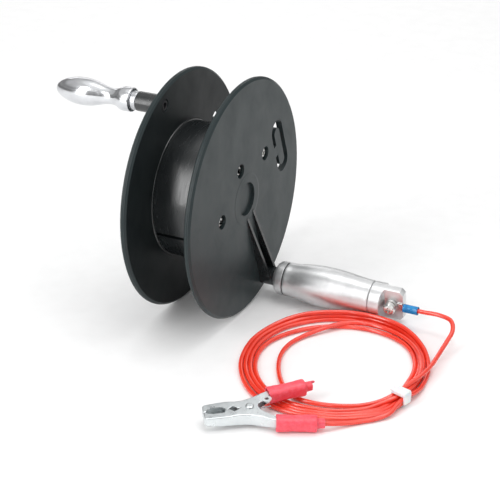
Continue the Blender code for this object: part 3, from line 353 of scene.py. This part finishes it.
def make_materials():
    """The materials by slot, and three more: gloss; inner, a darker and duller copy of the satin
    moulding that paints shade on the flanges' inner faces; and a dark steel that paints shade
    on screws in shaded recesses.
    """
    return {
        "moulding": moulded_plastic(
            "moulding_satin", (0.019, 0.029, 0.031), (0.026, 0.037, 0.039),
            rough=0.38, grain_mm=0.008, rub_mm=0.004, specular=0.31),
        "gloss": moulded_plastic(
            "moulding_gloss", (0.008, 0.01, 0.011), (0.013, 0.016, 0.017),
            rough=0.23, grain_mm=0.002, rub_mm=0.002, specular=0.85),
        # Painted shade: a darker, less shiny copy of the satin moulding for the flanges' faces that
        # look into the gap between them
        "inner": moulded_plastic(
            "moulding_inner_painted_shade", (0.010, 0.014, 0.015), (0.016, 0.021, 0.022),
            rough=0.42, grain_mm=0.006, rub_mm=0.003, specular=0.2),
        "polished_aluminium": polished_metal(
            "polished_aluminium", (0.62, 0.63, 0.65), (0.75, 0.76, 0.78),
            rough=0.17, streak_mm=0.006),
        "turned_aluminium": turned_metal(
            "turned_aluminium", (0.72, 0.725, 0.73), (0.86, 0.865, 0.87),
            rough=0.42, groove_mm=0.02),
        "steel": turned_metal(
            "bright_steel", (0.5, 0.51, 0.53), (0.66, 0.67, 0.69),
            rough=0.3, groove_mm=0.01),
        "zinc_steel": sheet_metal(
            "zinc_steel", (0.62, 0.62, 0.6), (0.8, 0.8, 0.78),
            rough=0.27, wave_mm=0.03, grain_mm=0.01),
        "spring_steel": sheet_metal(
            "spring_steel", (0.3, 0.31, 0.33), (0.5, 0.51, 0.53),
            rough=0.3, wave_mm=0.02, grain_mm=0.01),
        # Painted shade: a dark steel for zinc screws that sit in shaded recesses
        "painted_shade_steel": sheet_metal(
            "painted_shade_steel", (0.05, 0.05, 0.055), (0.12, 0.12, 0.125),
            rough=0.36, wave_mm=0.02, grain_mm=0.01),
        "tinned_copper": sheet_metal(
            "tinned_copper", (0.7, 0.7, 0.69), (0.86, 0.86, 0.85),
            rough=0.24, wave_mm=0.06, grain_mm=0.01),
        "clip_plate": sheet_metal(
            "clip_plate", (0.72, 0.76, 0.77), (0.8, 0.83, 0.84),
            rough=0.3, wave_mm=0.006, grain_mm=0.001, grain_scale=900),
        "bush_plastic": soft_plastic(
            "bush_plastic", (0.018, 0.018, 0.02), (0.035, 0.035, 0.037),
            rough=0.45, scale=300, bump_mm=0.02),
        "blue_sleeve": soft_plastic(
            "blue_sleeve", (0.0, 0.15, 0.42), (0.0, 0.26, 0.6),
            rough=0.2, scale=260, bump_mm=0.04),
        "lead_jacket": soft_plastic(
            "lead_jacket", (0.84, 0.034, 0.014), (0.93, 0.062, 0.03),
            rough=0.16, scale=60, bump_mm=0.002, scatter=0.03, specular=1.0),
        "tie_nylon": soft_plastic(
            "tie_nylon", (0.82, 0.82, 0.84), (0.92, 0.92, 0.93),
            rough=0.36, scale=260, bump_mm=0.03, scatter=0.25),
        "boot_red": soft_plastic(
            "boot_red", (0.88, 0.065, 0.095), (0.97, 0.13, 0.18),
            rough=0.34, scale=380, bump_mm=0.03, scatter=0.2),
    }


# ---------------------------------------------------------------- piece making

def new_piece(name, mesh, node, body, material):
    """A finished piece that stands for one CAD node and rides a body."""
    obj = bpy.data.objects.new(name, mesh)
    bpy.context.scene.collection.objects.link(obj)
    mesh.materials.append(material)
    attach(obj, body)
    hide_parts(node)
    return obj


def finish_mesh(name, bm, sharp=SHARP_DEGREES):
    bmesh.ops.recalc_face_normals(bm, faces=bm.faces)
    mesh = bpy.data.meshes.new(name)
    bm.to_mesh(mesh)
    bm.free()
    mesh.shade_smooth()
    mesh.set_sharp_from_angle(angle=math.radians(sharp))
    return mesh


def cad_faces(node):
    """The CAD node's own shape, with its triangles joined into flat faces."""
    bm = bmesh.new()
    bm.from_mesh(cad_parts[node].data)
    bmesh.ops.remove_doubles(bm, verts=bm.verts, dist=1e-6)
    bmesh.ops.dissolve_limit(bm, angle_limit=math.radians(0.6), verts=bm.verts, edges=bm.edges)
    return bm


def rounded_copy(node, width_mm, segments=2):
    """The CAD node's own shape with its edges rounded."""
    bm = cad_faces(node)
    least = math.radians(28)
    edges = [e for e in bm.edges if e.is_manifold and e.calc_face_angle() > least]
    bmesh.ops.bevel(bm, geom=edges, offset=width_mm * MM, segments=segments, profile=0.5,
                    affect="EDGES", clamp_overlap=True)
    return finish_mesh(node + "_look", bm)


def is_fold(edge):
    """Whether an edge is the outside of a bend in the clip's sheet, not the edge of the sheet."""
    length = edge.calc_length()
    if not (edge.is_manifold and edge.is_convex and length > 0.5 * MM):
        return False
    thicker_than_sheet = 1.9 * MM
    deep = all(face.calc_area() / length > thicker_than_sheet for face in edge.link_faces)
    return deep and edge.calc_face_angle() > math.radians(50)


def folded_copy(node, width_mm):
    """The CAD node's own shape with the folds of its sheet rounded."""
    bm = cad_faces(node)
    folds = [e for e in bm.edges if is_fold(e)]
    bmesh.ops.bevel(bm, geom=folds, offset=width_mm * MM, segments=5, profile=0.5,
                    affect="EDGES", clamp_overlap=False)
    return finish_mesh(node + "_look", bm)


def weighted(obj):
    modifier = obj.modifiers.new("even_normals", "WEIGHTED_NORMAL")
    modifier.keep_sharp = True
    modifier.weight = 80
    return obj


def keep_shape(node, mesh, slot, body, materials):
    """A piece with the CAD node's own shape, from a finer mesh of it."""
    return weighted(new_piece(node + "_fine", mesh, node, body, materials[slot]))


def keep_rounded(node, slot, body, width_mm, materials):
    return keep_shape(node, rounded_copy(node, width_mm), slot, body, materials)


def paint_shade_on_screw(screw, materials):
    """Paints shade on a zinc screw that sits in a shaded recess, by giving it the dark steel. Its
    slot stays as it is, because the record has none for this dark steel.
    """
    screw.data.materials[0] = materials["painted_shade_steel"]


def smooth_line(points, step):
    """Points about a step apart on a Catmull-Rom curve through the given points."""
    points = [Vector(p) for p in points]
    ends = [2 * points[0] - points[1]] + points + [2 * points[-1] - points[-2]]
    fine = []
    for a, b, c, d in zip(ends, ends[1:], ends[2:], ends[3:]):
        count = max(1, round((c - b).length / step))
        for i in range(count):
            t = i / count
            cubic = (-a + 3 * b - 3 * c + d) * t ** 3 + (2 * a - 5 * b + 4 * c - d) * t ** 2
            fine.append((cubic + (c - a) * t + 2 * b) / 2)
    fine.append(points[-1])
    return fine


def outer_profile(shape, start, step=0.8):
    """A smooth outer line from (distance, radius) pairs, as (distance, radius) from start."""
    line = smooth_line([(d, r, 0) for d, r in shape], step)
    return [(start + p.x, max(p.y, 0.0)) for p in line]


def lathe(name, profile, axis, sides):
    """A closed body of revolution about a line along X. The profile is (x, radius) in mm, a loop
    for a hollow piece, or a line that starts and ends on the axis."""
    bm = bmesh.new()
    hollow = profile[0][1] > 0 and profile[-1][1] > 0
    rings = []
    for x, radius in profile:
        if radius <= 0:
            rings.append([bm.verts.new(Vector((x, axis[0], axis[1])) * MM)])
            continue
        ring = []
        for i in range(sides):
            a = math.tau * i / sides
            y, z = axis[0] + radius * math.cos(a), axis[1] + radius * math.sin(a)
            ring.append(bm.verts.new(Vector((x, y, z)) * MM))
        rings.append(ring)
    pairs = list(zip(rings, rings[1:]))
    if hollow:
        pairs.append((rings[-1], rings[0]))
    for first, second in pairs:
        for i in range(sides):
            j = (i + 1) % sides
            corners = [first[i % len(first)], first[j % len(first)], second[j % len(second)],
                       second[i % len(second)]]
            bm.faces.new(list(dict.fromkeys(corners)))
    return finish_mesh(name, bm)


def skin_rings(bm, rings):
    """Faces between each ring and the next, and between the last one and the first."""
    for first, second in zip(rings, rings[1:] + rings[:1]):
        count = len(first)
        for i in range(count):
            j = (i + 1) % count
            bm.faces.new((first[i], first[j], second[j], second[i]))


def rounded_square(c, s, power):
    """How far a square with rounded corners reaches in the direction (c, s). Half its side is 1."""
    return (abs(c) ** power + abs(s) ** power) ** (-1 / power)


def bell(t, centre, width):
    """A smooth bump that is 1 at the centre and falls away on both sides."""
    return math.exp(-((t - centre) / width) ** 2)


def curve_piece(name, points, radius_mm, resolution, material):
    """A round wire or cord along points in mm."""
    curve = bpy.data.curves.new(name, "CURVE")
    curve.dimensions = "3D"
    curve.bevel_depth = radius_mm * MM
    curve.bevel_resolution = resolution
    curve.use_fill_caps = True
    spline = curve.splines.new("POLY")
    spline.use_smooth = True
    spline.points.add(len(points) - 1)
    for place, point in zip(spline.points, points):
        place.co = (*(Vector(point) * MM), 1)
    curve.materials.append(material)
    obj = bpy.data.objects.new(name, curve)
    bpy.context.scene.collection.objects.link(obj)
    return obj


# ---------------------------------------------------------------- reel

# The third material is painted shade: a darker copy of the satin on the flanges' inner faces
SATIN, GLOSS, INNER_PAINTED_SHADE = range(3)          # the materials of a reel half, in order


def reel_finish(face):
    """Gloss on the drum, the posts, the bosses and the ribs; painted shade on the sides of the
    flanges that face the drum, as a darker and duller copy of the satin; and satin on the rest
    of the flanges."""
    x = face.center.x / MM
    is_between = FAR_FACE + FLANGE_T - 0.4 < x < NEAR_FACE - FLANGE_T + 0.4
    is_proud = x > NEAR_FACE + 0.5 or x < FAR_FACE - 0.5
    if not (is_between or is_proud):
        return SATIN
    to_wall = min(abs(x - FAR_FACE - FLANGE_T), abs(x - NEAR_FACE + FLANGE_T))
    # The flanges' inner faces get the darker copy of the satin, which is painted shade
    is_wall = to_wall < 0.5 and abs(face.normal.x) > 0.7
    return INNER_PAINTED_SHADE if is_wall else GLOSS


def add_reel_rings(mesh, node):
    """The parting line round the rim, and on the far half the fillet at the foot of the drum."""
    high_face = NEAR_FACE if node == "near_half" else FAR_FACE + FLANGE_T
    middle = high_face - FLANGE_T / 2
    root, crest = FLANGE_R - 0.4, FLANGE_R + 0.2
    rings = [[(middle - 0.45, root), (middle - 0.3, crest), (middle + 0.3, crest),
              (middle + 0.45, root)]]
    if node == "far_half":
        foot = high_face - 0.1
        rings.append([(foot, 50.6), (foot, 52.3), (foot + 0.45, 52.1), (foot + 0.9, 51.6),
                      (foot + 1.2, 50.6)])
    bm = bmesh.new()
    bm.from_mesh(mesh)
    for profile in rings:
        bm.from_mesh(lathe("ring", profile, REEL_AXIS, 2 * TURNED_SIDES))
    bm.to_mesh(mesh)
    bm.free()
    mesh.set_sharp_from_angle(angle=math.radians(SHARP_DEGREES))


def make_reel(materials):
    for node in ("near_half", "far_half"):
        mesh = rounded_copy(node, 0.45, 3)
        add_reel_rings(mesh, node)
        obj = new_piece(node + "_moulding", mesh, node, "reel", materials["moulding"])
        # The third material paints shade on the flanges' inner faces
        mesh.materials.append(materials["gloss"])
        mesh.materials.append(materials["inner"])
        for face in mesh.polygons:
            face.material_index = reel_finish(face)
        weighted(obj)
    for side in ("near", "far"):
        for number in (1, 2, 3):
            screw = keep_rounded(f"{side}_flange_screw_{number}", "zinc_steel", "reel", 0.18,
                                 materials)
            # The far screws show in shade, which is painted on them as dark steel
            if side == "far":
                paint_shade_on_screw(screw, materials)


# ---------------------------------------------------------------- crank and grip

def make_crank(materials):
    start, length = 20.6, 64.3          # of the handle, outward from the far flange
    collar = [(0.0, 4.1), (0.0, 7.9), (0.15, 8.35), (0.55, 8.75), (1.1, 8.9), (6.6, 8.9)]
    body = [(6.6, 8.9), (7.6, 8.78), (9.4, 8.3), (11.6, 7.1), (14.2, 6.2), (18, 5.95), (23, 6.65),
            (28.5, 8.2), (34, 9.5), (40, 10.1), (46, 9.9), (51.5, 9.0), (56, 7.6), (60, 5.6),
            (62.6, 3.6), (63.9, 1.6), (length, 0)]
    outer = [(start + d, r) for d, r in collar] + outer_profile(body, start)[1:]
    # From its blind end the bore has a groove for the snap ring
    bore = [(68, 0), (68, 4.1), (62.9, 4.1), (62.9, 5.0), (61.1, 5.0), (61.1, 4.1)]
    profile = [(FAR_FACE - d, r) for d, r in bore + outer[:-1]] + [(FAR_FACE - start - length, 0)]
    mesh = lathe("crank_handle_polished", profile, CRANK_AXIS, TURNED_SIDES)
    new_piece("crank_handle_polished", mesh, "crank_handle", "crank",
              materials["polished_aluminium"])
    keep_rounded("crank_spindle", "steel", "reel", 0.25, materials)
    keep_rounded("crank_snap_ring", "spring_steel", "reel", 0.12, materials)
    # The fixing screw's head sits in a shaded recess; the shade is painted on as dark steel
    paint_shade_on_screw(keep_rounded("crank_fixing_screw", "zinc_steel", "reel", 0.2, materials), materials)


def make_grip(materials):
    """The grip and the terminal on its end. Distances are outward from the near flange."""
    shape = [(22.4, 13.1), (27, 13.15), (33, 14), (40, 15), (47, 15.55), (54, 15.68),
             (62, 15.4), (70, 14.75), (79, 13.75), (87, 13.1), (89.9, 13.02)]
    outer = [(21.2, 12.3), (21.35, 12.75), (21.75, 13.02)] + outer_profile(shape, 0.0)
    outer += [(90.3, 12.92), (90.6, 12.65), (90.7, 12.3)]
    bore = [(90.7, 8.3), (78.3, 8.3), (78.3, 7), (33.6, 7), (33.6, 8.3), (21.2, 8.3)]
    ring = [(11.7, 7.5), (11.7, 8.3), (11.85, 8.5), (13.2, 11.0), (13.6, 11.45), (15.1, 12.85),
            (15.5, 13.0), (20.1, 13.0), (20.4, 12.7), (20.4, 4.3), (16.1, 4.3), (16.1, 7.5)]
    washer = [(20.5, 4.3), (20.5, 12.3), (20.6, 12.4), (21.0, 12.4), (21.1, 12.3), (21.1, 4.3)]
    for name, profile, slot, node, body in (
            ("grip_sleeve_turned", outer + bore, "turned_aluminium", "grip_sleeve", "grip"),
            ("grip_front_ring_turned", ring, "turned_aluminium", "grip_front_ring", "reel"),
            ("grip_thrust_washer_thin", washer, "bush_plastic", "grip_thrust_washer", "reel")):
        profile = [(NEAR_FACE + d, r) for d, r in profile]
        mesh = lathe(name, profile, GRIP_AXIS, TURNED_SIDES)
        new_piece(name, mesh, node, body, materials[slot])
    for node, slot, body, width_mm in (
            ("grip_front_bush", "bush_plastic", "grip", 0.1),
            ("grip_rear_bush", "bush_plastic", "grip", 0.1),
            ("grip_axle", "steel", "reel", 0.2),
            ("grip_fixing_screw", "zinc_steel", "reel", 0.2),
            ("end_block", "turned_aluminium", "reel", 0.3),
            ("terminal_screw", "zinc_steel", "reel", 0.25),
            ("terminal_lock_washer", "zinc_steel", "reel", 0.15),
            ("terminal_washer", "zinc_steel", "reel", 0.15),
            ("ring_lug", "tinned_copper", "reel", 0.15)):
        keep_rounded(node, slot, body, width_mm, materials)


def make_lug_sleeve(materials):
    """The blue sleeve, flared at its mouth and squeezed twice by the crimping tool."""
    start, end = NEAR_FACE + 116.6, NEAR_FACE + 128.0
    steps, sides, squeeze_mm, flare_mm, lump_mm = 36, 40, 0.5, 0.12, 0.05
    path = [(start, 2.5), (start, 2.95)]
    path += [(start + (end - start) * i / steps, 3.15) for i in range(1, steps)]
    path += [(end, 3.0), (end, 2.55), (end - 1.2, 2.2), (start + 1.2, 2.2)]
    bm = bmesh.new()
    rings = []
    for x, radius in path:
        t = (x - start) / (end - start)
        squeeze = bell(t, 0.3, 0.1) + 0.8 * bell(t, 0.68, 0.1)
        is_outside = radius > 2.6
        ring = []
        for i in range(sides):
            a = math.tau * i / sides
            c, s = math.cos(a), math.sin(a)
            r = radius + flare_mm * bell(t, 1, 0.09)
            if is_outside:
                r -= squeeze_mm * squeeze * (0.5 + 0.5 * math.cos(2 * a)) ** 2
                r += lump_mm * noise.noise(Vector((x * 0.9, c * 2, s * 2)))
            ring.append(bm.verts.new(Vector((x, SLEEVE_AXIS[0] + r * c,
                                             SLEEVE_AXIS[1] + r * s)) * MM))
        rings.append(ring)
    skin_rings(bm, rings)
    mesh = finish_mesh("lug_sleeve_crimped", bm, 45)
    return new_piece("lug_sleeve_crimped", mesh, "lug_sleeve", "reel",
                     materials["blue_sleeve"])


# ---------------------------------------------------------------- clip and boots

BOOT_SIDES = 56
BOOT_LENGTH = 27.0
BOOT_COLLAR = 5.2               # length of the collar round the lead
BOOT_HALF_V, BOOT_HALF_W = 5.1, 5.3
BOOT_LUMPS = 0.035              # how uneven a boot is, as a part of its size


def clip_point(u, v, w=0.0):
    """A point of the clip's own frame, in row mm."""
    return CLIP_ORIGIN + CLIP_PLACE @ Vector((u, v, w))


def boot_rings(bm, sign, path, has_nib):
    """Rings of a boot on one side of the clip, from (distance, size, lumps) along its handle."""
    slope = math.radians(10) * sign
    along = Vector((math.cos(slope), math.sin(slope), 0))
    across = Vector((-math.sin(slope), math.cos(slope), 0))
    start = Vector((15, sign * 14.4, 0))
    nib_start, nib_mm = 31.5, 3.2
    rings = []
    for x, scale, lumps in path:
        ring = []
        for i in range(BOOT_SIDES):
            a = math.tau * (i + 0.5) / BOOT_SIDES
            c, s = math.cos(a), math.sin(a)
            reach = scale * rounded_square(c, s, 3.2)
            if lumps:
                seed = Vector((x * 0.22, c * 1.4, s * 1.4 + 7 * sign))
                reach *= 1 + lumps * noise.noise(seed)
            u = x
            if has_nib and x > nib_start and scale > 0.3:
                u += nib_mm * max(0.0, math.cos(a - 0.4)) ** 10
            place = (start + along * u + across * (BOOT_HALF_V * reach * c)
                     + Vector((0, 0, BOOT_HALF_W * reach * s)))
            ring.append(bm.verts.new(clip_point(*place) * MM))
        rings.append(ring)
    return rings


def make_boot(name, node, body, sign, has_nib, materials):
    """A soft sleeve pulled over a clip handle: waisted, with rounded mouths and a lead collar."""
    shoulder, mouth = BOOT_LENGTH, BOOT_LENGTH + BOOT_COLLAR
    outer = [(0.0, 0.93), (0.25, 0.985), (0.9, 1.0), (3, 0.985), (6, 0.965), (9.5, 0.94),
             (13, 0.925), (17, 0.93), (20, 0.95), (23, 0.985), (25.2, 1.0), (26.3, 0.985),
             (26.8, 0.95), (shoulder, 0.88), (shoulder + 0.05, 0.66), (shoulder + 0.4, 0.6),
             (shoulder + 1.5, 0.575), (shoulder + 3.4, 0.56), (mouth - 0.5, 0.55),
             (mouth - 0.1, 0.52), (mouth, 0.48)]
    inner = [(mouth, 0.38), (shoulder - 1.2, 0.38), (shoulder - 1.2, 0.76), (1.0, 0.8),
             (0.1, 0.84)]
    path = []
    for (x0, s0), (x1, s1) in zip(outer, outer[1:]):
        parts = max(1, round((x1 - x0) / 0.9))
        path += [(x0 + (x1 - x0) * i / parts, s0 + (s1 - s0) * i / parts, BOOT_LUMPS)
                 for i in range(parts)]
    path += [(x, scale, 0.0) for x, scale in outer[-1:] + inner]
    bm = bmesh.new()
    skin_rings(bm, boot_rings(bm, sign, path, has_nib))
    mesh = finish_mesh(name, bm, 50)
    return new_piece(name, mesh, node, body, materials["boot_red"])


def make_spring(materials):
    """The clip's coil spring: a leg on the fixed jaw, the turns, and a leg on the moving jaw."""
    turns, per_turn, radius, pitch, wire_r = 3, 24, 2.6, 1.1, 0.45
    low = -pitch * turns / 2
    points = [(15.4, 5.2, low), (10.3, 4.3, low)]
    for i in range(per_turn * turns + 11):
        a = math.radians(105) + math.tau * i / per_turn
        points.append((radius * math.cos(a), radius * math.sin(a),
                       low + pitch * turns * min(1.0, i / (per_turn * turns))))
    points += [(8, -7.8, -low), (16.5, -13.2, -low)]
    spring = curve_piece("clip_spring_wire", [clip_point(*p) for p in points], wire_r, 3,
                         materials["spring_steel"])
    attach(spring, "reel")
    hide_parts("clip_spring")
    return spring


def make_clip(materials):
    made = [keep_shape(node, folded_copy(node, 0.75), "clip_plate", body, materials)
            for node, body in (("clip_jaw_fixed", "reel"), ("clip_jaw_moving", "clip_jaw"))]
    made.append(keep_rounded("clip_rivet", "clip_plate", "reel", 0.35, materials))
    made.append(make_spring(materials))
    made.append(make_boot("boot_near", "clip_boot_fixed", "reel", -1, False, materials))
    made.append(make_boot("boot_far", "clip_boot_moving", "clip_jaw", 1, True, materials))
    return made


# ---------------------------------------------------------------- tie

def tie_point(along, out, up):
    """A point near the tie in row mm: along the lead, outward from the coil, and up."""
    forward = Vector((0, 0, 1)).cross(TIE_OUT)
    return TIE_CENTRE + forward * along + TIE_OUT * out + Vector((0, 0, up))


def add_box(bm, along, out, up, corner):
    """A box with rounded edges in the tie's frame."""
    corners = [bm.verts.new(tie_point(a, b, c) * MM) for a in along for b in out for c in up]
    quads = ((0, 1, 3, 2), (4, 6, 7, 5), (0, 4, 5, 1), (2, 3, 7, 6), (0, 2, 6, 4), (1, 5, 7, 3))
    faces = [bm.faces.new([corners[k] for k in quad]) for quad in quads]
    bmesh.ops.recalc_face_normals(bm, faces=faces)
    edges = list({edge for face in faces for edge in face.edges})
    bmesh.ops.bevel(bm, geom=edges, offset=corner * MM, segments=3, profile=0.5, affect="EDGES",
                    clamp_overlap=True)


def make_tie(materials):
    """A nylon cable tie: ribbed band round the bundle, box head on top, and the cut tail."""
    bm = bmesh.new()
    half_out, half_up, width, thick, rib_mm = 5.1, 3.35, 4.6, 1.1, 0.12
    section = [(-width / 2, 0.0), (-width / 2 + 0.3, -0.2), (width / 2 - 0.3, -0.2),
               (width / 2, 0.0), (width / 2, thick - 0.3), (width / 2 - 0.4, thick),
               (-width / 2 + 0.4, thick), (-width / 2, thick - 0.3)]
    rings = []
    count = 72
    for i in range(count):
        a = math.tau * i / count
        c, s = math.cos(a), math.sin(a)
        reach = rounded_square(c, s, 2.6)
        rib = rib_mm * (i % 2)
        ring = []
        for side, up in section:
            grow = 0.2 + up - (rib if 0 < up < thick else 0)
            ring.append(bm.verts.new(tie_point(side, (half_out + grow) * reach * c,
                                               (half_up + grow) * reach * s) * MM))
        rings.append(ring)
    skin_rings(bm, rings)
    # The head on top, its side that hangs down outside the bundle, and the cut tail
    add_box(bm, (-4.1, 4.1), (-3.4, 7.0), (half_up - 0.1, half_up + 3.3), 1.1)
    add_box(bm, (-3.7, 3.7), (half_out + 0.2, half_out + 2.2), (-2.2, half_up + 2.2), 0.7)
    add_box(bm, (-2.4, 2.4), (-6.6, -2.8), (half_up + 0.6, half_up + 1.9), 0.4)
    mesh = finish_mesh("tie_band_and_head", bm, 40)
    return new_piece("tie_band_and_head", mesh, "cable_tie", "reel",
                     materials["tie_nylon"])


# ---------------------------------------------------------------- lead

def make_lead(materials):
    points = smooth_line(LEAD, 1.6)
    lead = curve_piece("test_lead", points, LEAD_D / 2, 5, materials["lead_jacket"])
    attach(lead, "reel")
    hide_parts("lead_in", "lead_coil", "lead_out")


def main():
    make_camera()
    make_studio()
    make_floor()
    materials = make_materials()
    make_reel(materials)
    make_crank(materials)
    make_grip(materials)
    sleeve = make_lug_sleeve(materials)
    on_lead = make_clip(materials)
    on_lead += [make_tie(materials), sleeve]
    make_lead(materials)


main()
